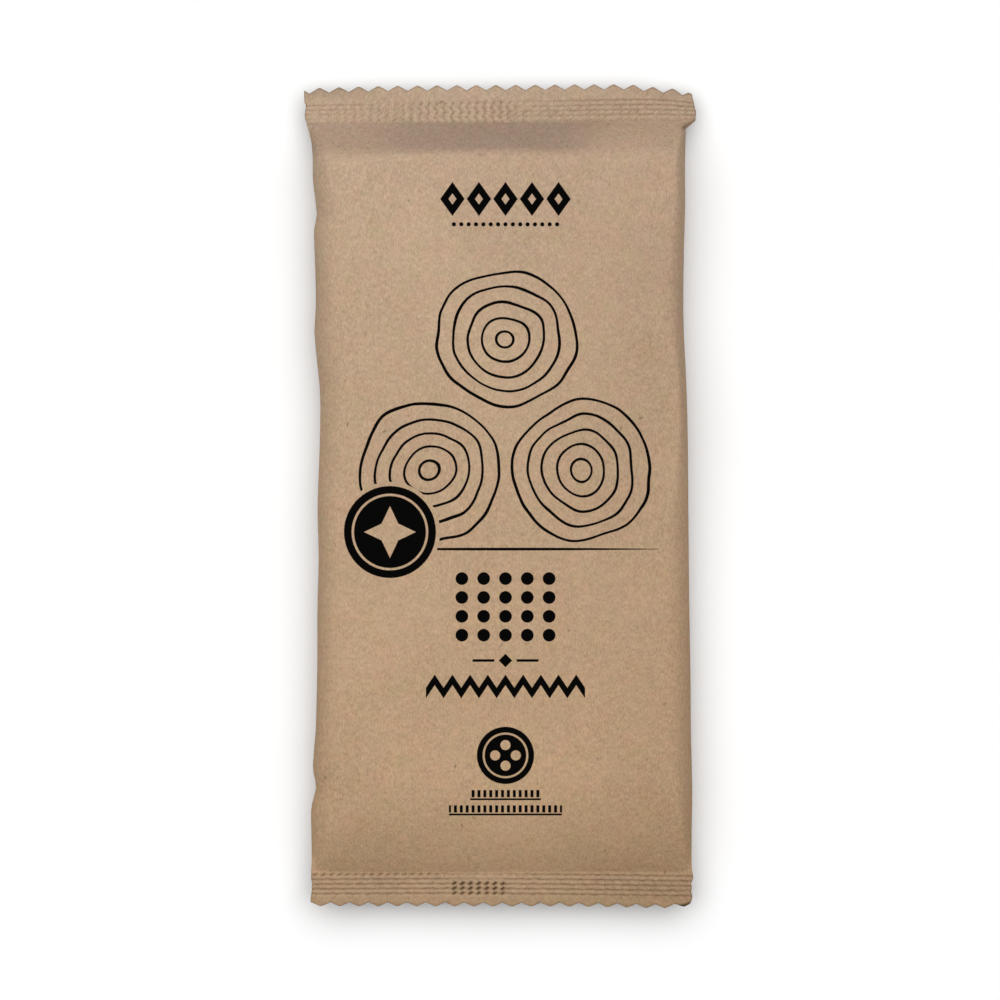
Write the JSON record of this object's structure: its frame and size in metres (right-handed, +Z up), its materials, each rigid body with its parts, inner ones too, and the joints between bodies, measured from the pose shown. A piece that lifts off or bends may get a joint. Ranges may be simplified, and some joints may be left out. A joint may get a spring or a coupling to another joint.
{
  "type": "sealed kraft paper pack of wooden teaspoons",
  "caption": "Flat flow-wrapped kraft paper pack, sealed round small wooden teaspoons, with crimped and toothed end seals and a fin folded flat on the back.",
  "frame": {"origin": "on the surface the pack lies on, under the middle of its length and width", "axes": "+X across the pack to the right of its printed face, +Y along the pack towards the head seal, +Z up out of the printed face"},
  "size_m": [0.0668, 0.14, 0.0117],
  "materials": {
    "kraft_paper": "matt brown kraft paper with a fine fibre mottle and dark matt ink on the front"
  },
  "bodies": {
    "root": {"paper_pack": "kraft_paper"}
  },
  "joints": []
}
